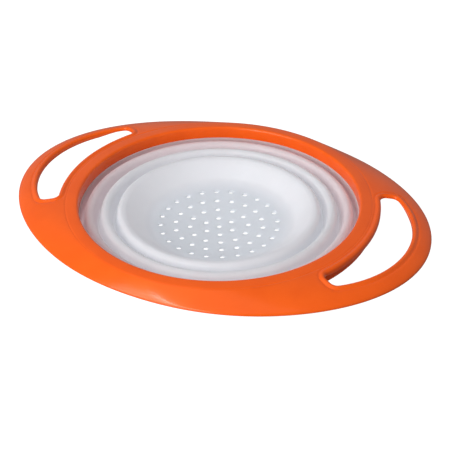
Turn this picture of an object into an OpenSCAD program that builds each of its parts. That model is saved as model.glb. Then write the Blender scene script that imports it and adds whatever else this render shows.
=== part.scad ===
// Folding colander: a rigid oval frame with two hand slots carries a silicone bowl
// that folds flat in concentric rings. Drawn folded flat and standing on its foot.
// Origin: centre of the foot on the table. X runs from hand slot to hand slot, Z is up.

/* [Strainer] */
// Distance between neighbouring drain holes
hole_pitch = 12.8; // [12:0.1:13.2]
// Diameter of each drain hole
hole_d = 4; // [2.5:0.5:5]
// Rings of drain holes round the centre hole
hole_rings = 4; // [1:1:4]
// Height of the strainer floor above the table
foot_h = 3.3; // [2.5:0.1:4]
// Thickness of the strainer floor where the holes are
floor_t = 1.4; // [1.2:0.1:2]

/* [Silicone folds] */
// Thickness of the silicone
skin_t = 2.2; // [1.8:0.1:2.4]
// Radius of the innermost fold crest
crest_r = 84; // [83:0.5:84.5]
// Radial distance from one fold crest to the next
fold_pitch = 14; // [13.6:0.1:14]
// Height of a fold from valley to crest
fold_h = 12; // [11:0.5:13]

/* [Handle frame] */
// Radius of the round opening that holds the bowl
opening_r = 121; // [121:0.5:122]
// Average radius of the oval outline
oval_r = 162; // [160:0.5:166]
// How far the outline reaches past the average at the handles
oval_stretch = 21.1; // [18:0.1:22]
// Wall thickness of the frame moulding
frame_t = 2.6; // [2.2:0.1:3]
// Height of the raised ring above the table
ring_z = 37; // [36.5:0.1:37.5]
// Height of the frame's lower edge above the table
lip_z = 26; // [25.5:0.5:27]

/* [Hand slots] */
// Radius of the slot's edge on the bowl side
slot_in_r = 139; // [137:0.5:139.5]
// Radius of the slot's edge on the grip side
slot_out_r = 91; // [88:1:93]
// Distance from the colander's centre to the centre of the grip side arc
slot_out_x = 79; // [76:1:80]
// Angle from the slot's middle to each of its radial ends
slot_half_angle = 27.6; // [24:0.1:29]
// Radius of the slot's corners
slot_corner_r = 6; // [3:1:7]

/* [Hidden] */

$fn = 96;
orange = [0.97, 0.42, 0.16];
deep_orange = [0.86, 0.34, 0.12];
milky = [0.82, 0.83, 0.86];
milky_web = [0.74, 0.75, 0.8];

// Heights at the middle of the silicone skin
half_t = skin_t / 2;
floor_z = foot_h + half_t;
crest_z = floor_z + 21.8;
valley_z = crest_z - fold_h;

// Rounded crests and valleys, and the straight stretch between them
crest_bend = 3.2;
valley_bend = 2.4;
fold_half = fold_pitch / 2;
crest_cz = crest_z - crest_bend;
valley_cz = valley_z + valley_bend;
fold_run = [fold_half, crest_cz - valley_cz];
fold_angle = atan2(fold_run[1], fold_run[0]) + asin((crest_bend + valley_bend) / norm(fold_run));
inner_crest = crest_r;
middle_crest = crest_r + fold_pitch;
outer_crest = crest_r + 2 * fold_pitch;
arc_steps = 6;

// Gap between a web and the band that unfolds away from it
web_gap = 0.3;

// Strainer floor: a shallow dish that rises by dish * r * r, then a round corner and
// a wide round crest
dish = 0.00148;
dish_r = hole_pitch * 4.5;
dish_slope = atan(2 * dish * dish_r);
cup_bend = 5.5;
corner_bend = 22;
corner_d = crest_r - dish_r + corner_bend * sin(dish_slope);
corner_cz = floor_z + dish * dish_r * dish_r + corner_bend * cos(dish_slope);
cup_cz = crest_z - cup_bend;
cup_run = [corner_d, cup_cz - corner_cz];
cup_angle = atan2(cup_run[1], cup_run[0]) + asin((cup_bend + corner_bend) / norm(cup_run));

// Foot ring under the floor, with drain notches
foot_r = 66;
foot_w = 3;
notch_w = 12;
notch_h = 2.4;

// Rim flange of the bowl, clamped between the frame and the retaining ring
flange_top = 26.4;
flange_r = 131;
rim_r = outer_crest + fold_half;
ring_gap = 0.3;
ring_t = 2.6;
ring_top = 32.4;
rib_r = flange_r + ring_gap;

// Frame section: rounded inner edge, flat ring band, then a skirt down to the lip
edge_bend = 2.2;
edge_z = ring_z + 0.6;
skirt_r = 132;
lip_h = 1.2;
rib_z = ring_z - frame_t;
frame_steps = 84;
slot_wall_z = 31.5;
slot_reach = 2 * oval_r;

// Points of an arc round c, with radius r, from angle a to angle b
function arc(c, r, a, b, n = arc_steps) =
    [for (i = [0:n]) let (t = a + (b - a) * i / n) c + r * [cos(t), sin(t)]];

// One fold of the skin, as [distance from the crest, height]: the crest arc, the
// straight wall and the valley arc. gap trims the valley end.
function fold_outline(gap) =
    let (
        crest = [0, crest_cz],
        valley = [fold_half, valley_cz],
        bend_in = valley_bend - half_t,
        bend_out = valley_bend + half_t
    )
    concat(
        arc(crest, crest_bend + half_t, 90, 90 - fold_angle),
        arc(valley, bend_in, 270 - fold_angle, 270 - asin(gap / bend_in)),
        arc(valley, bend_out, 270 - asin(gap / bend_out), 270 - fold_angle),
        arc(crest, crest_bend - half_t, 90 - fold_angle, 90)
    );

// A fold from the crest at radius r towards the centre (side = -1) or away from it (1)
module fold(r, side, gap = 0) {
    rotate_extrude()
        polygon([for (p = fold_outline(gap)) [r + side * p[0], p[1]]]);
}

// One face of the dished floor, offset by dz from the middle of the skin. The breaks
// lie halfway between the rings of holes.
function dish_line(dz) =
    [for (k = [3:-1:-1]) let (r = k < 0 ? 0 : hole_pitch * (k + 0.5), q = max(r, hole_pitch / 2))
        [r, floor_z + dz + dish * q * q]];

function reversed(pts) = [for (i = [len(pts) - 1:-1:0]) pts[i]];

// One face of the cup from its crest to the centre, offset by side * half_t. The lower
// face rises from the round corner to the thinner floor.
function cup_face(side) =
    concat(
        [for (p = concat(
            arc([0, cup_cz], cup_bend + side * half_t, 90, 90 - cup_angle),
            arc([corner_d, corner_cz], corner_bend - side * half_t, 270 - cup_angle, 270 - dish_slope)
        )) [crest_r - p[0], p[1]]],
        dish_line(side > 0 ? half_t : half_t - floor_t)
    );

module drain_holes() {
    for (ring = [0:hole_rings])
        for (i = [0:max(6 * ring, 1) - 1])
            rotate(ring == 0 ? 0 : i * 60 / ring)
                translate([ring * hole_pitch, 0, 0])
                    cylinder(d = hole_d, h = crest_z, $fn = 24);
}

module foot_ring() {
    foot_top = corner_cz - sqrt(corner_bend * corner_bend - pow(foot_r - crest_r + corner_d, 2));
    difference() {
        rotate_extrude()
            polygon([
                [foot_r - foot_w / 2 + 0.6, 0], [foot_r + foot_w / 2 - 0.6, 0],
                [foot_r + foot_w / 2, 0.6], [foot_r + foot_w / 2, foot_top],
                [foot_r - foot_w / 2, foot_top], [foot_r - foot_w / 2, 0.6]
            ]);
        for (a = [45:90:315])
            rotate(a)
                translate([foot_r - foot_w, -notch_w / 2, -1])
                    cube([2 * foot_w, notch_w, notch_h + 1]);
    }
}

module strainer_cup() {
    color(milky)
        difference() {
            union() {
                rotate_extrude()
                    polygon(concat(cup_face(1), reversed(cup_face(-1))));
                foot_ring();
            }
            drain_holes();
        }
}

module inner_web() {
    color(milky_web) fold(inner_crest, 1, web_gap);
}

module inner_band() {
    color(milky) fold(middle_crest, -1);
}

module middle_web() {
    color(milky_web) fold(middle_crest, 1, web_gap);
}

module outer_band() {
    color(milky) fold(outer_crest, -1);
}

module outer_web() {
    color(milky_web) fold(outer_crest, 1, web_gap);
}

// Outer side of the last valley, the upright wall and the clamped flange
module bowl_rim() {
    valley = [rim_r, valley_cz];
    wall_in = rim_r + valley_bend - half_t;
    wall_out = wall_in + skin_t;
    color(milky)
        rotate_extrude()
            polygon(concat(
                arc(valley, valley_bend - half_t, 270, 360),
                [
                    [wall_in, flange_top], [flange_r, flange_top],
                    [flange_r, flange_top - skin_t], [wall_out, flange_top - skin_t]
                ],
                arc(valley, valley_bend + half_t, 360, 270)
            ));
}

// L-shaped ring that closes the frame from below and clamps the flange
module retaining_ring() {
    in_r = rim_r + valley_bend + half_t + ring_gap;
    top = flange_top - skin_t;
    color(deep_orange)
        rotate_extrude()
            polygon([
                [in_r, top - ring_t], [rib_r + ring_t, top - ring_t],
                [rib_r + ring_t, ring_top], [rib_r, ring_top],
                [rib_r, top], [in_r, top]
            ]);
}

function oval(t) = oval_r + oval_stretch * cos(2 * t) + 2.6 * cos(4 * t) + 0.6 * cos(6 * t);
function lip(t) = lip_z + 0.8 * cos(2 * t);

// The skirt at angle t, run out from the crease by a and falling by b. It is straight
// at the front and back of the frame and swells to a quarter ellipse at the handles.
function skirt(t, a, b, steps) =
    let (power = 2 / (1 + pow(cos(t), 4)), z0 = lip(t) + lip_h)
    [for (i = [0:steps]) let (k = 90 * i / steps)
        [skirt_r + a * pow(sin(k), power), z0 + b * pow(cos(k), power)]];

// Upper face of the frame at angle t, from the opening out to the edge
function frame_top(t) =
    concat(
        [[opening_r, flange_top]],
        arc([opening_r + edge_bend, edge_z - edge_bend], edge_bend, 180, 90, 3),
        skirt(t, oval(t) - skirt_r, ring_z - lip(t) - lip_h, 6),
        [[oval(t) - 0.6, lip(t)]]
    );

// Lower face of the frame at angle t, from the edge back to the opening
function frame_under(t) =
    concat(
        [[oval(t) - frame_t + 0.4, lip(t)]],
        reversed(skirt(t, oval(t) - skirt_r - frame_t, rib_z - lip(t) - lip_h, 3)),
        [
            [rib_r, rib_z], [rib_r, flange_top],
            [rib_r - frame_t, flange_top], [rib_r - frame_t, rib_z],
            [opening_r + frame_t, edge_z - frame_t],
            [opening_r + frame_t, flange_top]
        ]
    );

// Sweeps the section that sections[i] gives at each angle into one closed ring
module swept_ring(sections) {
    n = len(sections);
    m = len(sections[0]);
    points = [for (i = [0:n - 1]) let (t = 360 * i / n) for (p = sections[i])
        [p[0] * cos(t), p[0] * sin(t), p[1]]];
    faces = [for (i = [0:n - 1]) for (j = [0:m - 1])
        let (
            i2 = (i + 1) % n,
            j2 = (j + 1) % m,
            a = i * m + j, b = i * m + j2, c = i2 * m + j2, d = i2 * m + j
        )
        each [[a, c, b], [a, d, c]]];
    polyhedron(points, faces, convexity = 8);
}

module slot_2d() {
    offset(r = slot_corner_r, $fn = 28)
        offset(delta = -slot_corner_r)
            intersection() {
                difference() {
                    translate([slot_out_x, 0]) circle(slot_out_r, $fn = 96);
                    circle(slot_in_r, $fn = 120);
                }
                polygon([
                    [0, 0],
                    slot_reach * [cos(slot_half_angle), -sin(slot_half_angle)],
                    slot_reach * [cos(slot_half_angle), sin(slot_half_angle)]
                ]);
            }
}

// Block that the slot is cut through, which leaves a wall all round it
module slot_block() {
    translate([0, 0, slot_wall_z])
        linear_extrude(ring_z - slot_wall_z)
            offset(delta = frame_t) slot_2d();
}

// All the space under the middle of the frame's skin
module frame_envelope() {
    translate([0, 0, -frame_t / 2])
        swept_ring([for (i = [0:frame_steps - 1]) let (t = 360 * i / frame_steps)
            concat(frame_top(t), [[oval(t) - 0.6, 0], [opening_r, 0]])]);
}

module handle_frame() {
    color(orange)
        difference() {
            union() {
                swept_ring([for (i = [0:frame_steps - 1]) let (t = 360 * i / frame_steps)
                    concat(frame_top(t), frame_under(t))]);
                intersection() {
                    frame_envelope();
                    union() {
                        slot_block();
                        mirror([1, 0, 0]) slot_block();
                    }
                }
            }
            for (side = [0, 1])
                mirror([side, 0, 0])
                    linear_extrude(ring_z + 10) slot_2d();
        }
}

handle_frame();
retaining_ring();
bowl_rim();
outer_web();
outer_band();
middle_web();
inner_band();
inner_web();
strainer_cup();
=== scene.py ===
import math

import bmesh
import bpy
import numpy as np
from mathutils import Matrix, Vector
from mathutils.geometry import delaunay_2d_cdt


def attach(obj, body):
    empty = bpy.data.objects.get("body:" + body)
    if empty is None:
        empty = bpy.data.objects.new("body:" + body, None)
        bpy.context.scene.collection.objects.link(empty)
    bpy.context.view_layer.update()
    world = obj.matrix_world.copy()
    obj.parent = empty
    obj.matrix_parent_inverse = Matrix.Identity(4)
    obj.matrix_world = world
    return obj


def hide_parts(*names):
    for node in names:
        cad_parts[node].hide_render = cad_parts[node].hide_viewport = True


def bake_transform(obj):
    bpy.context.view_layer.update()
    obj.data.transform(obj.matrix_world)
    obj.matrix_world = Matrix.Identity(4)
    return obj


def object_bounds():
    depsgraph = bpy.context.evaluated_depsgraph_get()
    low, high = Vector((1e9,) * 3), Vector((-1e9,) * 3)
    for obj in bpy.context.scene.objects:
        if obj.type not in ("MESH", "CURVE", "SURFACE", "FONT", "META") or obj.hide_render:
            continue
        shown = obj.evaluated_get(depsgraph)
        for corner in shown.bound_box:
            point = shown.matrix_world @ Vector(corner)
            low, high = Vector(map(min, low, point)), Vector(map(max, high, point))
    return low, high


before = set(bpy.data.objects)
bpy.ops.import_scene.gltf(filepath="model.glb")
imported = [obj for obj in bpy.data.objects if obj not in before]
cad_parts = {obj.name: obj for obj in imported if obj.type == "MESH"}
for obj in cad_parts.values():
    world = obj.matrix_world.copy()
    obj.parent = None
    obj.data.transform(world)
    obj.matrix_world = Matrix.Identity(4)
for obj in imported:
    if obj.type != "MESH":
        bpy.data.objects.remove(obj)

cad_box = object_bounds()

# One closed mesh for each CAD node, in the node's place, drawn with the bowl folded flat.

# ---------------------------------------------------------------- sizes, in mm
MM = 0.001

STEPS_AROUND = 288
TURN = 2 * math.pi
EVEN = np.arange(STEPS_AROUND) * TURN / STEPS_AROUND

# Silicone skin, folded flat: crests and valleys of the rings
SKIN = 2.2
HALF = SKIN / 2
FOOT_H, CREST_H, FOLD_H = 3.3, 21.8, 12
FLOOR_Z = FOOT_H + HALF
CREST_Z = FLOOR_Z + CREST_H
VALLEY_Z = CREST_Z - FOLD_H
CREST_BEND, VALLEY_BEND, CUP_BEND = 3.2, 2.4, 5.5
CREST_CZ, VALLEY_CZ = CREST_Z - CREST_BEND, VALLEY_Z + VALLEY_BEND
FOLD_HALF = 7
CRESTS = (84, 98, 112)
RIM_R = CRESTS[2] + FOLD_HALF

# A web is thin between its ends: shares of its length where it starts and stops thinning
WEB_SKIN = 0.9
THIN_FROM, THIN_TO = 0.10, 0.32

# Strainer floor: a dish that rises by DISH * r * r, with holes on rings, and its corner.
# Its pattern of points ends at FLAT_R: DISH_GRID and DISH_STEP space them, and DISH_CLEAR
# keeps them off the holes. The floor thickens from THICKENS_R out.
HOLE_PITCH, HOLE_R, HOLE_RINGS = 12.8, 2, 4
HOLE_STEPS, HOLE_LIP, HOLE_BEVEL = 24, 0.45, 0.13
DISH = 0.00148
DISH_R = HOLE_PITCH * 4.5
FLAT_R = 53.9
DISH_GRID, DISH_STEP, DISH_CLEAR = 3.2, 3.4, 1.1
FLOOR_SKIN, THICKENS_R = 1.1, 46
CORNER_BEND = 22

# Foot ring, with notches whose ends slope over NOTCH_SLOPE degrees
FOOT_R, FOOT_W, FOOT_ROUND, FOOT_BEVEL, FOOT_CLEAR = 66, 3, 0.7, 0.2, 0.4
NOTCH_W, NOTCH_H, NOTCH_SLOPE = 12, 2.4, 0.35

# Clamped rim of the bowl and the ring that holds it
CLEARANCE = 0.3
FLANGE_TOP, FLANGE_R = 26.4, 131
RIB_R = FLANGE_R + CLEARANCE
RING_T, RING_TOP = 2.6, 32.4
THROAT_ROUND, FLANGE_ROUND, CLAMP_ROUND, SEAT_ROUND = 0.5, 0.4, 0.8, 0.3

# Handle frame: inner edge, ring band, crease with a shallow groove, skirt and lip
OPENING_R = 121
EDGE_BEND = 2.2
EDGE_Z, RING_Z = 37.6, 37.0
CREASE_R, GROOVE_DEPTH, GROOVE_HALF = 132, 0.2, 0.7
FRAME_T = 2.4
LIP_H = 1.2
EDGE_ROUND, UNDER_ROUND = 0.9, 0.7

# Radius of the oval outline and height of its lip: a mean, then how far each swells 2, 4
# and 6 times a turn
OVAL = (162, 21.1, 2.6, 0.6)
LIP = (26, 0.8)

# The skirt's curve: nearly straight at the front and back, an ellipse at the handles
STRAIGHT, SWELL = 1.09, 0.91

# Under the frame: wall at the opening and rib, which end SEAT_GAP above the flange, the
# radius inside which the shell is level, and the distances from the outline between which
# it turns down into the lip
RIB_T, SEAT_GAP = 2.6, 0.02
WALL_ROUND = 0.4
LEVEL_R = 126
LIP_IN, LIP_OUT = 1.9, 2.3

# Hand slots: edges, then the raised rim round each, which dips before it meets the frame
# and stays BELOW_EDGE under the top of the opening's edge
SLOT_IN_R, SLOT_OUT_R, SLOT_OUT_X, SLOT_ANGLE, SLOT_CORNER = 139, 91, 79, 27.6, 6
RIM_ROUND, RIM_END = 2.6, 6.4
RIM_RISE, RIM_DIP = 0.9, 0.4
DIP_FROM, DIP_BACK, DIP_LOW = 2.5, 5.2, 5.6
BELOW_EDGE = 0.03

# Wall under a slot's edge: thickness and depth, and how much less deep it gets between two
# distances from the X axis
SLOT_WALL_T, SLOT_WALL_H, SLOT_WALL_CUT = 2.2, 4.8, 2.0
CUT_FROM, CUT_TO = 50, 68


# ---------------------------------------------------------------- mesh helpers
def arc(cx, cz, radius, start, end, steps):
    """Points of an arc, from angle start to end in degrees."""
    return [
        (cx + radius * math.cos(a), cz + radius * math.sin(a))
        for a in np.radians(np.linspace(start, end, steps + 1))
    ]


def smooth(a, b, v):
    """Eases from 0 where v is a to 1 where v is b."""
    t = np.clip((v - a) / (b - a), 0, 1)
    return t * t * (3 - 2 * t)


def round_edge(distance, radius):
    """How far a rounded edge falls away, at a distance in from the edge."""
    short = radius - np.clip(distance, 0, radius)
    return radius - np.sqrt(radius**2 - short**2)


def quads(low, high, closed=True):
    """Quads between two rows of vertex numbers."""
    n = len(low)
    return [
        (low[i], low[(i + 1) % n], high[(i + 1) % n], high[i])
        for i in range(n if closed else n - 1)
    ]


def piece(name, points, faces, material, node, sharp=38):
    """A smooth-shaded piece that stands for one CAD node. points are in mm."""
    mesh = bpy.data.meshes.new(name)
    mesh.from_pydata([tuple(np.multiply(p, MM)) for p in points], [], faces)
    bm = bmesh.new()
    bm.from_mesh(mesh)
    bmesh.ops.delete(bm, geom=[v for v in bm.verts if not v.link_faces], context="VERTS")
    bmesh.ops.recalc_face_normals(bm, faces=bm.faces)
    if bm.calc_volume(signed=True) < 0:
        bmesh.ops.reverse_faces(bm, faces=bm.faces)
    bm.to_mesh(mesh)
    bm.free()
    mesh.shade_smooth()
    mesh.set_sharp_from_angle(angle=math.radians(sharp))
    mesh.materials.append(material)
    obj = bpy.data.objects.new(name, mesh)
    bpy.context.scene.collection.objects.link(obj)
    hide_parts(node)
    return obj


def sweep(sections, angles, closed=True):
    """Joins sections of (radius, height), one at each angle, into a ring round Z.
    Returns the points, the faces and the vertex numbers of each section."""
    points = [
        (r * math.cos(a), r * math.sin(a), z)
        for a, section in zip(angles, sections)
        for r, z in section
    ]
    m = len(sections[0])
    columns = [list(range(i * m, (i + 1) * m)) for i in range(len(sections))]
    faces = []
    for i, column in enumerate(columns):
        faces += quads(column, columns[(i + 1) % len(columns)], closed)
    return points, faces, columns


def lathe(outline):
    """Points and faces of a closed outline of (radius, height) turned round Z."""
    return sweep([outline] * STEPS_AROUND, EVEN)[:2]


def enclosed(xy, edges):
    """Which of the points xy are inside the loops that the edges make."""
    odd = np.zeros(len(xy), bool)
    for s, e in edges:
        if s[1] != e[1]:
            cross = (s[1] > xy[:, 1]) != (e[1] > xy[:, 1])
            odd ^= cross & (xy[:, 0] < s[0] + (xy[:, 1] - s[1]) / (e[1] - s[1]) * (e[0] - s[0]))
    return odd


# ---------------------------------------------------------------- materials


def add(tree, kind, **settings):
    """A new node with its inputs or properties set."""
    node = tree.nodes.new(kind)
    for key, value in settings.items():
        if key in node.inputs:
            node.inputs[key].default_value = value
        else:
            setattr(node, key, value)
    return node


def moulded(
    name, light, dark, rough, grain, grain_depth, cloud=45.0, tint=None, through=0.0, **shader
):
    """Moulded material: cloudy colour and roughness, and a fine surface grain. The list by radius
    (radius in mm, colour) multiplies the colour: painted shade darkens the dish's middle and a
    painted pink reflection of the orange frame lies beside it. through is the share of translucent
    shading."""
    material = bpy.data.materials.new(name)
    material.use_nodes = True
    tree = material.node_tree
    bsdf = tree.nodes["Principled BSDF"]
    for key, value in shader.items():
        bsdf.inputs[key.replace("_", " ")].default_value = value
    place = add(tree, "ShaderNodeTexCoord").outputs["Object"]

    def noise(scale, detail, roughness=0.5):
        node = add(
            tree, "ShaderNodeTexNoise", Scale=scale, Detail=detail, Roughness=roughness
        )
        tree.links.new(place, node.inputs["Vector"])
        return node.outputs["Fac"]

    # The noise lies mostly between 0.3 and 0.7
    ramp = add(tree, "ShaderNodeValToRGB")
    ramp.color_ramp.elements[0].position, ramp.color_ramp.elements[1].position = 0.35, 0.65
    ramp.color_ramp.elements[0].color = (*dark, 1)
    ramp.color_ramp.elements[1].color = (*light, 1)
    tree.links.new(noise(cloud, 3.0), ramp.inputs["Fac"])
    colour = ramp.outputs["Color"]
    # Painted light: the colour is multiplied by radius, as painted shade at the dish's middle and
    # a painted pink reflection of the orange frame at the rim
    if tint:
        flat = add(tree, "ShaderNodeVectorMath", operation="MULTIPLY")
        flat.inputs[1].default_value = (1, 1, 0)
        radius = add(tree, "ShaderNodeVectorMath", operation="LENGTH")
        share = add(tree, "ShaderNodeMapRange")
        share.inputs["From Max"].default_value = FLANGE_R * MM
        painted_light_ramp = add(tree, "ShaderNodeValToRGB")
        stops = painted_light_ramp.color_ramp.elements
        for _ in range(len(tint) - 2):
            stops.new(0.5)
        for stop, (at, stop_colour) in zip(stops, tint):
            stop.position, stop.color = at / FLANGE_R, (*stop_colour, 1)
        both = add(tree, "ShaderNodeMix", data_type="RGBA", blend_type="MULTIPLY")
        both.inputs["Factor"].default_value = 1
        tree.links.new(place, flat.inputs[0])
        tree.links.new(flat.outputs[0], radius.inputs[0])
        tree.links.new(radius.outputs["Value"], share.inputs["Value"])
        tree.links.new(share.outputs["Result"], painted_light_ramp.inputs["Fac"])
        tree.links.new(colour, both.inputs[6])
        tree.links.new(painted_light_ramp.outputs["Color"], both.inputs[7])
        colour = both.outputs[2]
    tree.links.new(colour, bsdf.inputs["Base Color"])

    spread = add(tree, "ShaderNodeMapRange")
    spread.inputs["From Min"].default_value, spread.inputs["From Max"].default_value = 0.3, 0.7
    spread.inputs["To Min"].default_value, spread.inputs["To Max"].default_value = rough
    tree.links.new(noise(cloud * 4, 5.0, 0.6), spread.inputs["Value"])
    tree.links.new(spread.outputs["Result"], bsdf.inputs["Roughness"])

    bump = add(tree, "ShaderNodeBump", Strength=0.5, Distance=grain_depth)
    tree.links.new(noise(grain, 2.0), bump.inputs["Height"])
    tree.links.new(bump.outputs["Normal"], bsdf.inputs["Normal"])
    if through:
        glow = add(tree, "ShaderNodeBsdfTranslucent")
        blend = add(tree, "ShaderNodeMixShader", Fac=through)
        tree.links.new(colour, glow.inputs["Color"])
        tree.links.new(bump.outputs["Normal"], glow.inputs["Normal"])
        tree.links.new(bsdf.outputs[0], blend.inputs[1])
        tree.links.new(glow.outputs[0], blend.inputs[2])
        tree.links.new(blend.outputs[0], tree.nodes["Material Output"].inputs["Surface"])
    return material


WARM = (1.0, 0.55, 0.35, 1.0)
ORANGE = moulded(
    "orange_plastic", (0.945, 0.118, 0.005), (0.905, 0.108, 0.004), (0.30, 0.36),
    grain=1800.0, grain_depth=0.000006,
    Specular_IOR_Level=0.35, Specular_Tint=WARM, Coat_Weight=0.28, Coat_Roughness=0.15,
)
CLAMP = moulded(
    "clamp_plastic", (0.84, 0.10, 0.006), (0.78, 0.09, 0.005), (0.42, 0.5),
    grain=1500.0, grain_depth=0.00001, Specular_IOR_Level=0.25, Specular_Tint=WARM,
)
SILICONE = dict(
    light=(0.93, 0.935, 0.955), dark=(0.915, 0.92, 0.94),
    grain=2200.0, grain_depth=0.000015, cloud=60.0, through=0.55,
    # Painted light by radius in mm: painted shade darkens the middle of the dish, and a painted
    # pink reflection of the orange frame lies at the rim
    tint=(
        (52, (0.875, 0.893, 0.91)),
        (66, (0.985, 0.985, 0.99)),
        (100, (1, 1, 1)),
        (OPENING_R - 1, (1, 0.87, 0.87)),
    ),
    Subsurface_Weight=0.3, Subsurface_Scale=0.002, Subsurface_Radius=(1.0, 0.9, 0.9),
)
MILKY = moulded("milky_silicone", rough=(0.36, 0.46), **SILICONE)
WEB = moulded("web_silicone", rough=(0.40, 0.50), **SILICONE)

# ---------------------------------------------------------------- silicone bowl
fold_run = (FOLD_HALF, CREST_CZ - VALLEY_CZ)
FOLD_ANGLE = math.degrees(
    math.atan2(fold_run[1], fold_run[0])
    + math.asin((CREST_BEND + VALLEY_BEND) / math.hypot(*fold_run))
)


def fold_path():
    """Middle of the skin from a crest to its valley, with the normal there:
    (run, height, normal's run, normal's height)."""
    path = [
        (CREST_BEND * math.cos(a), CREST_CZ + CREST_BEND * math.sin(a), math.cos(a), math.sin(a))
        for a in np.radians(np.linspace(90, 90 - FOLD_ANGLE, 10))
    ]
    valley = [
        (
            FOLD_HALF + VALLEY_BEND * math.cos(a),
            VALLEY_CZ + VALLEY_BEND * math.sin(a),
            -math.cos(a),
            -math.sin(a),
        )
        for a in np.radians(np.linspace(270 - FOLD_ANGLE, 270, 10))
    ]
    wall = [
        tuple(np.add(path[-1], np.subtract(valley[0], path[-1]) * f))
        for f in np.linspace(0, 1, 9)[1:-1]
    ]
    return path + wall + valley


def fold(radius, side, web):
    """Closed outline of one fold. A web is thinner between its two ends, where it bends."""
    path = fold_path()
    outer, inner = [], []
    for i, (run, z, nr, nz) in enumerate(path):
        u = i / (len(path) - 1)
        thin = smooth(THIN_FROM, THIN_TO, min(u, 1 - u)) if web else 0
        below = HALF - (SKIN - WEB_SKIN) * thin
        outer.append((radius + side * (run + HALF * nr), z + HALF * nz))
        inner.append((radius + side * (run - below * nr), z - below * nz))
    return outer + inner[::-1]


# Name, radius of the crest, side on which the fold falls, and whether it is a web
for name, crest, side, web in (
    ("inner_web", CRESTS[0], 1, True),
    ("inner_band", CRESTS[1], -1, False),
    ("middle_web", CRESTS[1], 1, True),
    ("outer_band", CRESTS[2], -1, False),
    ("outer_web", CRESTS[2], 1, True),
):
    points, faces = lathe(fold(crest, side, web))
    ring = piece("silicone_" + name, points, faces, WEB if web else MILKY,
                 name)
    if not web:
        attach(ring, "inner_ring" if name == "inner_band" else "outer_ring")
        continue
    inside, outside = {
        "inner_web": ("cup", "inner_ring"),
        "middle_web": ("inner_ring", "outer_ring"),
        "outer_web": ("outer_ring", "frame"),
    }[name]
    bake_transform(ring)

# Rim: outer side of the last valley, the upright wall and the clamped flange
wall_in, wall_out = RIM_R + VALLEY_BEND - HALF, RIM_R + VALLEY_BEND + HALF
rim_outline = (
    arc(RIM_R, VALLEY_CZ, VALLEY_BEND - HALF, 270, 360, 8)
    + arc(wall_in + THROAT_ROUND, FLANGE_TOP - THROAT_ROUND, THROAT_ROUND, 180, 90, 4)
    + arc(FLANGE_R - FLANGE_ROUND, FLANGE_TOP - FLANGE_ROUND, FLANGE_ROUND, 90, 0, 3)
    + arc(FLANGE_R - FLANGE_ROUND, FLANGE_TOP - SKIN + FLANGE_ROUND, FLANGE_ROUND, 0, -90, 3)
    + [(wall_out, FLANGE_TOP - SKIN)]
    + arc(RIM_R, VALLEY_CZ, VALLEY_BEND + HALF, 360, 270, 12)
)
points, faces = lathe(rim_outline)
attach(piece("silicone_rim", points, faces, MILKY, "bowl_rim"), "frame")


# Cup: crest, sloping side, round corner, foot and pierced dish
def dish_z(r, top):
    """Height of the upper or the lower face of the dish, which thickens towards its edge."""
    skin = FLOOR_SKIN + (SKIN - FLOOR_SKIN) * smooth(THICKENS_R, DISH_R, r)
    return FLOOR_Z + HALF - (0 if top else skin) + DISH * r * r


slope = math.degrees(math.atan(2 * DISH * DISH_R))
corner_d = CRESTS[0] - DISH_R + CORNER_BEND * math.sin(math.radians(slope))
corner_cz = FLOOR_Z + DISH * DISH_R**2 + CORNER_BEND * math.cos(math.radians(slope))
cup_run = (corner_d, CREST_Z - CUP_BEND - corner_cz)
CUP_ANGLE = math.degrees(
    math.atan2(cup_run[1], cup_run[0])
    + math.asin((CUP_BEND + CORNER_BEND) / math.hypot(*cup_run))
)


def cup_face(top):
    """The upper or the lower face of the cup, from the crest in to the dish."""
    side = 1 if top else -1
    crest = arc(0, CREST_Z - CUP_BEND, CUP_BEND + side * HALF, 90, 90 - CUP_ANGLE, 8)
    corner = arc(corner_d, corner_cz, CORNER_BEND - side * HALF, 270 - CUP_ANGLE, 270 - slope, 12)
    line = [
        tuple(np.add(crest[-1], np.subtract(corner[0], crest[-1]) * f))
        for f in np.linspace(0, 1, 5)[1:-1]
    ]
    return [(CRESTS[0] - run, z) for run, z in crest + line + corner]


foot_in, foot_out = FOOT_R - FOOT_W / 2, FOOT_R + FOOT_W / 2
notch_half = math.degrees(math.asin(NOTCH_W / 2 / FOOT_R))
notch_edges = [
    math.radians(a + sign * (notch_half + extra))
    for a in (45, 135, 225, 315)
    for sign in (-1, 1)
    for extra in (0, NOTCH_SLOPE)
]
NOTCH_CLEAR = 0.006
CUP_ANGLES = np.array(
    sorted([a for a in EVEN if min(abs(a - e) for e in notch_edges) > NOTCH_CLEAR] + notch_edges)
)


def cup_outline(angle):
    """Section of the cup at an angle, from the dish's edge out over the crest and back below."""
    off = abs((math.degrees(angle) % 90) - 45)
    bottom = NOTCH_H * (1 - float(np.clip((off - notch_half) / NOTCH_SLOPE, 0, 1)))
    under = cup_face(False)
    foot_top_out, foot_top_in = (
        float(np.interp(r, [p[0] for p in under[::-1]], [p[1] for p in under[::-1]]))
        for r in (foot_out, foot_in)
    )
    foot = [
        (foot_out, foot_top_out),
        (foot_out, bottom + FOOT_ROUND),
        (foot_out - FOOT_BEVEL, bottom + FOOT_BEVEL),
        (foot_out - FOOT_ROUND, bottom),
        (FOOT_R, bottom),
        (foot_in + FOOT_ROUND, bottom),
        (foot_in + FOOT_BEVEL, bottom + FOOT_BEVEL),
        (foot_in, bottom + FOOT_ROUND),
        (foot_in, foot_top_in),
    ]
    edge = [FLAT_R + 0.9, DISH_R - 1.2]
    return (
        [(r, dish_z(r, True)) for r in [FLAT_R] + edge]
        + cup_face(True)[::-1]
        + [p for p in under if p[0] > foot_out + FOOT_CLEAR]
        + foot
        + [p for p in under if p[0] < foot_in - FOOT_CLEAR]
        + [(r, dish_z(r, False)) for r in edge[::-1] + [FLAT_R]]
    )


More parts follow.
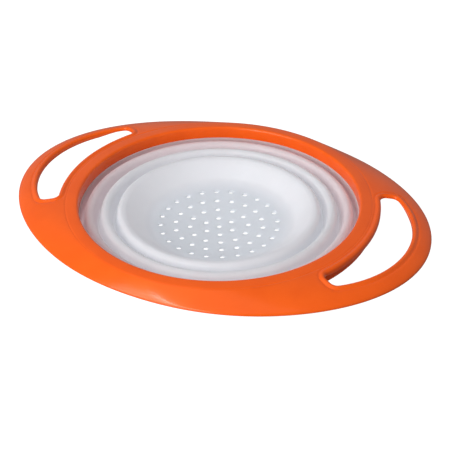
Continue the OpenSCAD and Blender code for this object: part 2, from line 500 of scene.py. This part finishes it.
def hole_loop(hole, radius):
    """Points of a circle round a hole's middle."""
    return [
        (hole[0] + radius * math.cos(k * TURN / HOLE_STEPS),
         hole[1] + radius * math.sin(k * TURN / HOLE_STEPS))
        for k in range(HOLE_STEPS)
    ]


holes = [
    (ring * HOLE_PITCH * math.cos(a), ring * HOLE_PITCH * math.sin(a))
    for ring in range(HOLE_RINGS + 1)
    for a in (np.arange(max(6 * ring, 1)) * TURN / max(6 * ring, 1))
]
points, faces, columns = sweep([cup_outline(a) for a in CUP_ANGLES], CUP_ANGLES, closed=False)
rim_top = [c[0] for c in columns]
rim_under = [c[-1] for c in columns]

# The plane pattern of the dish: its edge, the lips of the holes, and rings of points between
flat, edges = [], []


def add_loop(loop):
    """Adds a closed loop of points to the pattern, with its edges."""
    start = len(flat)
    flat.extend(loop)
    n = len(loop)
    edges.extend((start + i, start + (i + 1) % n) for i in range(n))


add_loop([(FLAT_R * math.cos(a), FLAT_R * math.sin(a)) for a in CUP_ANGLES])
lip_r = HOLE_R + HOLE_LIP
for hole in holes:
    add_loop(hole_loop(hole, lip_r))
for r in np.arange(DISH_GRID, FLAT_R - DISH_GRID / 2, DISH_GRID):
    count = int(TURN * r / DISH_STEP)
    for k in range(count):
        x, y = r * math.cos(k * TURN / count), r * math.sin(k * TURN / count)
        if min(math.hypot(x - cx, y - cy) for cx, cy in holes) > lip_r + DISH_CLEAR:
            flat.append((x, y))
_, _, triangles, origin, _, _ = delaunay_2d_cdt([Vector(p) for p in flat], edges, [], 1, 1e-5)
source = [o[0] for o in origin]
triangles = [tuple(source[i] for i in t) for t in triangles]
n_edge = len(CUP_ANGLES)
n_lips = n_edge + len(holes) * HOLE_STEPS


def in_a_hole(triangle):
    """True if all three corners are on one hole's lip."""
    loops = {(i - n_edge) // HOLE_STEPS if n_edge <= i < n_lips else -1 - i for i in triangle}
    return len(loops) == 1


triangles = [t for t in triangles if not in_a_hole(t)]
start_top = len(points)
points += [(x, y, dish_z(math.hypot(x, y), True)) for x, y in flat[n_edge:]]
start_under = len(points)
points += [(x, y, dish_z(math.hypot(x, y), False)) for x, y in flat[n_edge:]]


def dish_index(i, top):
    """Vertex number of the pattern's point i on the upper or the lower face."""
    if i < n_edge:
        return rim_top[i] if top else rim_under[i]
    return (start_top if top else start_under) + i - n_edge


for t in triangles:
    faces.append(tuple(dish_index(i, True) for i in t))
    faces.append(tuple(dish_index(i, False) for i in t[::-1]))
for h, hole in enumerate(holes):
    first = n_edge + h * HOLE_STEPS
    rings = [[dish_index(first + k, True) for k in range(HOLE_STEPS)]]
    over, below = dish_z(math.hypot(*hole), True), dish_z(math.hypot(*hole), False)
    for radius, z in (
        (HOLE_R + HOLE_BEVEL, over - HOLE_BEVEL),
        (HOLE_R, over - HOLE_LIP),
        (HOLE_R, below + HOLE_LIP),
        (HOLE_R + HOLE_BEVEL, below + HOLE_BEVEL),
    ):
        begin = len(points)
        points += [(x, y, z) for x, y in hole_loop(hole, radius)]
        rings.append(list(range(begin, begin + HOLE_STEPS)))
    rings.append([dish_index(first + k, False) for k in range(HOLE_STEPS)])
    for low, high in zip(rings, rings[1:]):
        faces += quads(low, high)
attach(piece("silicone_cup", points, faces, MILKY, "strainer_cup"), "cup")

# ---------------------------------------------------------------- retaining ring
clamp_top = FLANGE_TOP - SKIN
clamp_in, clamp_out = wall_out + CLEARANCE, RIB_R + RING_T
clamp_low = clamp_top - RING_T
clamp_outline = (
    arc(clamp_in + THROAT_ROUND, clamp_low + THROAT_ROUND, THROAT_ROUND, 180, 270, 4)
    + arc(clamp_out - CLAMP_ROUND, clamp_low + CLAMP_ROUND, CLAMP_ROUND, 270, 360, 5)
    + arc(clamp_out - FLANGE_ROUND, RING_TOP - FLANGE_ROUND, FLANGE_ROUND, 0, 90, 3)
    + arc(RIB_R + FLANGE_ROUND, RING_TOP - FLANGE_ROUND, FLANGE_ROUND, 90, 180, 3)
    + [(RIB_R, clamp_top)]
    + arc(clamp_in + SEAT_ROUND, clamp_top - SEAT_ROUND, SEAT_ROUND, 90, 180, 3)
)
points, faces = lathe(clamp_outline)
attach(piece("clamp_ring", points, faces, CLAMP, "retaining_ring"), "frame")


# ---------------------------------------------------------------- handle frame
def waves(sizes, t):
    """A mean size at an angle, with waves of 2, 4, 6 and so on to a turn."""
    return sum(size * np.cos(2 * k * t) for k, size in enumerate(sizes))


def oval(t):
    """Radius of the frame's outline at an angle."""
    return waves(OVAL, t)


def lip(t):
    """Height of the frame's lower edge at an angle."""
    return waves(LIP, t)


def slot_outline(d):
    """The slot's outline at distance d outside its edge, on the +X side: an arc on the bowl's
    side, one on the grip's side and two radial ends, with round corners. Each part has the
    same number of points whatever d is."""
    end = math.radians(SLOT_ANGLE)
    along = np.array([math.cos(end), math.sin(end)])
    across = np.array([math.sin(end), -math.cos(end)])
    a_in = SLOT_ANGLE - math.degrees(math.asin(SLOT_CORNER / (SLOT_IN_R + SLOT_CORNER)))
    x_in, y_in = arc(0, 0, SLOT_IN_R + SLOT_CORNER, a_in, a_in, 0)[0]
    start = SLOT_CORNER * across - (SLOT_OUT_X, 0)
    far = -start @ along + math.sqrt(
        (start @ along) ** 2 - start @ start + (SLOT_OUT_R - SLOT_CORNER) ** 2
    )
    x_out, y_out = SLOT_CORNER * across + far * along
    a_out = math.degrees(math.atan2(y_out, x_out - SLOT_OUT_X))
    corner = SLOT_CORNER + d
    half = (
        arc(0, 0, SLOT_IN_R - d, 0, a_in, 28)[:-1]
        + arc(x_in, y_in, corner, a_in + 180, SLOT_ANGLE + 90, 10)
        + arc(x_out, y_out, corner, SLOT_ANGLE + 90, a_out, 10)[:-1]
        + arc(SLOT_OUT_X, 0, SLOT_OUT_R + d, a_out, 0, 30)
    )
    return np.array(half + [(x, -y) for x, y in half[-2:0:-1]])


def slot_distance(xy):
    """Distance of points from the slot on their own side: more than 0 outside it."""
    p = np.abs(xy)
    line = slot_outline(0)
    sides = list(zip(line, np.roll(line, -1, 0)))
    best = np.full(len(p), np.inf)
    for s, e in sides:
        d = e - s
        f = np.clip(((p - s) @ d) / (d @ d), 0, 1)
        best = np.minimum(best, np.hypot(*(p - s - f[:, None] * d).T))
    return np.where(enclosed(p, sides), -best, best)


def skirt_z(r, t):
    """The frame's upper face without the rims of the slots."""
    z0 = lip(t) + LIP_H
    s = np.clip((r - CREASE_R) / (oval(t) - CREASE_R), 0, 1)
    power = STRAIGHT + SWELL * np.cos(t) ** 4
    skirt = z0 + (RING_Z - z0) * (1 - s**power) ** (1 / power)
    skirt = skirt - (2 - power) * round_edge(oval(t) - r, EDGE_ROUND)
    flat_r = OPENING_R + EDGE_BEND
    band = EDGE_Z - (EDGE_Z - RING_Z) * np.clip((r - flat_r) / (CREASE_R - flat_r), 0, 1) ** 1.5
    band = band - round_edge(r - OPENING_R, EDGE_BEND)
    groove = GROOVE_DEPTH * np.clip(1 - np.abs(r - CREASE_R) / GROOVE_HALF, 0, 1)
    return np.where(r < CREASE_R, band, skirt) - groove


def rim_z(base, d):
    """What the raised rim of a slot adds to the height base at distance d from its edge."""
    rise = np.clip(EDGE_Z - BELOW_EDGE - base, 0, RIM_RISE)
    return (
        rise
        - (rise + RIM_DIP) * smooth(DIP_FROM, DIP_LOW, d)
        + RIM_DIP * smooth(DIP_BACK, RIM_END, d)
        - round_edge(d, RIM_ROUND)
    )


def polar(xy):
    """Radius and angle of points."""
    return np.hypot(xy[:, 0], xy[:, 1]), np.arctan2(xy[:, 1], xy[:, 0])


def top_z(xy, d):
    """The frame's upper face, at distance d from the nearer slot."""
    base = skirt_z(*polar(xy))
    return base + np.where(d < RIM_END, rim_z(base, d), 0)


def wall_foot(xy):
    """Height of the lower edge of a slot's wall, which is less deep at the slot's ends."""
    cut = SLOT_WALL_CUT * smooth(CUT_FROM, CUT_TO, np.abs(xy[:, 1]))
    return skirt_z(*polar(xy)) - SLOT_WALL_H + cut


def under_z(xy, d):
    """The frame's lower face: wall at the opening, rib, shell, lip and walls of the slots."""
    r, t = polar(xy)
    edge = oval(t) - r
    shell = np.minimum(skirt_z(np.clip(r, LEVEL_R, None), t), RING_Z) - FRAME_T
    shell = lip(t) + (np.maximum(shell, lip(t)) - lip(t)) * smooth(LIP_IN, LIP_OUT, edge)
    shell = shell + round_edge(edge, UNDER_ROUND)
    wall = r < OPENING_R + RIB_T
    rib = (r > RIB_R - RIB_T) & (r < RIB_R)
    z = np.where(wall | rib, FLANGE_TOP + SEAT_GAP, shell) + round_edge(r - OPENING_R, WALL_ROUND)
    foot = wall_foot(xy) + round_edge(d, UNDER_ROUND)
    return np.where(d < SLOT_WALL_T, np.minimum(foot, z), z)


# Gaps that the triangles round a slot leave, and the area below which one is dropped
CELL_GAP, POINT_GAP, SLIVER = 0.25, 0.9, 1e-4


def slotted_face(rows, rings, height, clear):
    """One face of the frame: quads on a polar grid, strips of quads round the slots as far as
    clear, and triangles between. Returns the points, the faces and the vertex numbers along
    the opening, the outer edge and each slot."""
    n = STEPS_AROUND
    grid_xy = np.array(
        [(r * math.cos(t), r * math.sin(t)) for row in rows for t, r in zip(EVEN, row)]
    )
    away = slot_distance(grid_xy)
    points = np.column_stack([grid_xy, height(grid_xy, np.maximum(away, clear + 1))]).tolist()
    faces, removed = [], []
    for i in range(len(rows) - 1):
        for j in range(n):
            j2 = (j + 1) % n
            cell = (i * n + j, i * n + j2, (i + 1) * n + j2, (i + 1) * n + j)
            (faces if min(away[list(cell)]) > clear + CELL_GAP else removed).append(cell)
    slots = []
    for side in (1, -1):
        numbers = []
        for d in rings:
            loop = slot_outline(d) * (side, 1)
            begin = len(points)
            points += np.column_stack([loop, height(loop, np.full(len(loop), d))]).tolist()
            numbers.append(list(range(begin, len(points))))
        for low, high in zip(numbers, numbers[1:]):
            faces += quads(low, high)
        slots.append(numbers[0])
        cells = [c for c in removed if points[c[0]][0] * side > 0]
        count = {}
        for c in cells:
            for a, b in zip(c, c[1:] + c[:1]):
                count[frozenset((a, b))] = count.get(frozenset((a, b)), 0) + 1
        border = [tuple(e) for e, k in count.items() if k == 1]
        border += [(numbers[-1][k - 1], numbers[-1][k]) for k in range(len(numbers[-1]))]
        on_border = {v for e in border for v in e}
        loose = {v for c in cells for v in c if v not in on_border and away[v] > clear + POINT_GAP}
        used = sorted(on_border | loose)
        place = {v: k for k, v in enumerate(used)}
        _, _, fill, origin, _, _ = delaunay_2d_cdt(
            [Vector(points[v][:2]) for v in used],
            [(place[a], place[b]) for a, b in border],
            [], 0, 1e-6,
        )
        tris = np.array([[used[origin[k][0]] for k in t] for t in fill])
        xy = np.array([p[:2] for p in points])
        inside = enclosed(xy[tris].mean(1), [(xy[a], xy[b]) for a, b in border])
        p, q, r = xy[tris[:, 0]], xy[tris[:, 1]], xy[tris[:, 2]]
        area = np.abs((q - p)[:, 0] * (r - p)[:, 1] - (q - p)[:, 1] * (r - p)[:, 0]) / 2
        faces += [tuple(int(v) for v in t) for t in tris[inside & (area > SLIVER)]]
    opening = list(range(n))
    outside = list(range((len(rows) - 1) * n, len(rows) * n))
    return points, faces, opening, outside, slots


def quarter(radius, steps):
    """Distances from an edge that spread points evenly over its rounding."""
    return [radius * (1 - math.cos(k * TURN / 4 / steps)) for k in range(steps + 1)]


outer = oval(EVEN)
ones = np.ones_like(EVEN)
crease_end = CREASE_R + GROOVE_HALF
top_rows = [(OPENING_R + o) * ones for o in quarter(EDGE_BEND, 6)]
top_rows += [(CREASE_R + o) * ones for o in (-7, -5, -3, -1.6, -0.7, -0.3, 0, 0.3, GROOVE_HALF)]
top_rows += [
    crease_end + (outer - EDGE_ROUND - crease_end) * s
    for s in [0.03, 0.08] + list(np.linspace(0.14, 0.92, 12)) + [0.96, 0.985, 1]
]
top_rows += [outer - o for o in quarter(EDGE_ROUND, 6)[-2::-1]]
top_rings = quarter(RIM_ROUND, 6) + [3.0, 3.4, 3.9, 4.4, 4.9, 5.4, 5.9, RIM_END]

# Rows just inside and just outside each step of the lower face, so that it is upright
BEFORE, AFTER = 0.01, 0.02
wall_r, rib_in = OPENING_R + RIB_T, RIB_R - RIB_T
under_rows = [(OPENING_R + o) * ones for o in quarter(WALL_ROUND, 3)]
under_rows += [
    r * ones
    for r in (
        OPENING_R + 1.5, wall_r - BEFORE, wall_r + AFTER, 125.2, 127,
        rib_in - AFTER, rib_in + BEFORE, RIB_R - RIB_T / 2, RIB_R - BEFORE, RIB_R + AFTER,
    )
]
under_rows += [
    RIB_R + AFTER + (outer - LIP_OUT - RIB_R - AFTER) * s
    for s in [0.05] + list(np.linspace(0.12, 1, 12))
]
under_rows += [outer - o for o in (2.1, LIP_IN, 1.3, UNDER_ROUND, UNDER_ROUND / 2, 0.09, 0)]
under_rings = [
    0, 0.05, 0.2, 0.43, UNDER_ROUND, 1.4, SLOT_WALL_T - BEFORE, SLOT_WALL_T + BEFORE, 3.0, 3.6
]

points, faces, opening, outside, slots = slotted_face(top_rows, top_rings, top_z, RIM_END)
more, under_faces, under_opening, under_outside, under_slots = slotted_face(
    under_rows, under_rings, under_z, under_rings[-1]
)
shift = len(points)
points += more
faces += [tuple(v + shift for v in f) for f in under_faces]
for a, b in [(opening, under_opening), (outside, under_outside), *zip(slots, under_slots)]:
    faces += quads(a, [v + shift for v in b])
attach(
    piece("frame_moulding", points, faces, ORANGE, "handle_frame", sharp=42),
    "frame",
)

# ---------------------------------------------------------------- floor, light and camera
# The floor looks white, and as a light it glows under the bowl and fades out past the frame:
# radii in metres, then strengths
GLOW_R = (0.115, 0.15)
GLOW_NEAR, GLOW_FAR = 0.88, 0.08
SKY_LIGHT, SKY_SEEN = 0.38, 1.05

# Camera: turn and height of its view, its distance from the aim and the aim, in metres
AZ, EL = math.radians(26.87), math.radians(34.05)
DISTANCE, AIM_Z, AIM_RIGHT, AIM_UP = 0.96696, 0.0055, 0.00601, 0.00033
SENSOR, LENS = 36, 87.61

right = Vector((math.cos(AZ), math.sin(AZ), 0))
back = Vector((math.sin(AZ) * math.cos(EL), -math.cos(AZ) * math.cos(EL), math.sin(EL)))
up = back.cross(right)
toward = Vector((back.x, back.y, 0)).normalized()

bpy.ops.mesh.primitive_plane_add(size=6, location=(0, 0, cad_box[0].z))
floor = bpy.context.object
floor.name = "floor"
paper = bpy.data.materials.new("paper")
paper.use_nodes = True
tree = paper.node_tree
paper_bsdf = tree.nodes["Principled BSDF"]
paper_bsdf.inputs["Base Color"].default_value = (0.2, 0.2, 0.2, 1)
paper_bsdf.inputs["Roughness"].default_value = 0.9
paper_bsdf.inputs["Specular IOR Level"].default_value = 0.1
paper_bsdf.inputs["Emission Color"].default_value = (1, 1, 1, 1)
ray = add(tree, "ShaderNodeLightPath")
place = add(tree, "ShaderNodeTexCoord")
reach = add(tree, "ShaderNodeVectorMath", operation="LENGTH")
fade = add(tree, "ShaderNodeMapRange", interpolation_type="SMOOTHSTEP")
fade.inputs["From Min"].default_value, fade.inputs["From Max"].default_value = GLOW_R
fade.inputs["To Min"].default_value, fade.inputs["To Max"].default_value = GLOW_NEAR, GLOW_FAR
glow = add(tree, "ShaderNodeMapRange")
tree.links.new(place.outputs["Object"], reach.inputs[0])
tree.links.new(reach.outputs["Value"], fade.inputs["Value"])
tree.links.new(fade.outputs["Result"], glow.inputs["To Min"])
tree.links.new(ray.outputs["Is Camera Ray"], glow.inputs["Value"])
tree.links.new(glow.outputs["Result"], paper_bsdf.inputs["Emission Strength"])
floor.data.materials.append(paper)


def soft_light(name, way, size, power, aim=(0, 0, 0)):
    """A rectangular lamp that shines at aim. way is its place from there, in metres: along
    the camera's right, towards the camera and up."""
    lamp = bpy.data.lights.new(name, "AREA")
    lamp.shape = "RECTANGLE"
    lamp.size, lamp.size_y = size
    lamp.energy = power
    obj = bpy.data.objects.new(name, lamp)
    bpy.context.scene.collection.objects.link(obj)
    offset = way[0] * right + way[1] * toward + Vector((0, 0, way[2]))
    obj.location = Vector(aim) + offset
    obj.rotation_euler = (-offset).to_track_quat("-Z", "Y").to_euler()


soft_light("key", (-1.15, 1.2, 0.8), (1.3, 1.0), 21.5)
soft_light("top", (-0.4, 0.2, 1.6), (1.5, 1.2), 4)
# A narrow lamp for the pale streak on the rim at the front left
soft_light("glint", (-0.598, 0.65, 0.884), (0.4, 0.09), 3.0, aim=(0.02, -0.138, 0.03))

world = bpy.data.worlds.new("studio")
world.use_nodes = True
tree = world.node_tree
tree.nodes["Background"].inputs["Color"].default_value = (1, 1, 1, 1)
ray = add(tree, "ShaderNodeLightPath")
pale = add(tree, "ShaderNodeMapRange")
pale.inputs["To Min"].default_value, pale.inputs["To Max"].default_value = SKY_LIGHT, SKY_SEEN
tree.links.new(ray.outputs["Is Camera Ray"], pale.inputs["Value"])
tree.links.new(pale.outputs["Result"], tree.nodes["Background"].inputs["Strength"])
bpy.context.scene.world = world
bpy.context.scene.view_settings.view_transform = "Standard"

camera = bpy.data.cameras.new("camera")
camera.sensor_width, camera.lens = SENSOR, LENS
camera.clip_start, camera.clip_end = 0.05, 20
view = bpy.data.objects.new("camera", camera)
bpy.context.scene.collection.objects.link(view)
view.location = Vector((0, 0, AIM_Z)) + AIM_RIGHT * right + AIM_UP * up + DISTANCE * back
view.rotation_euler = (-back).to_track_quat("-Z", "Y").to_euler()
bpy.context.scene.camera = view
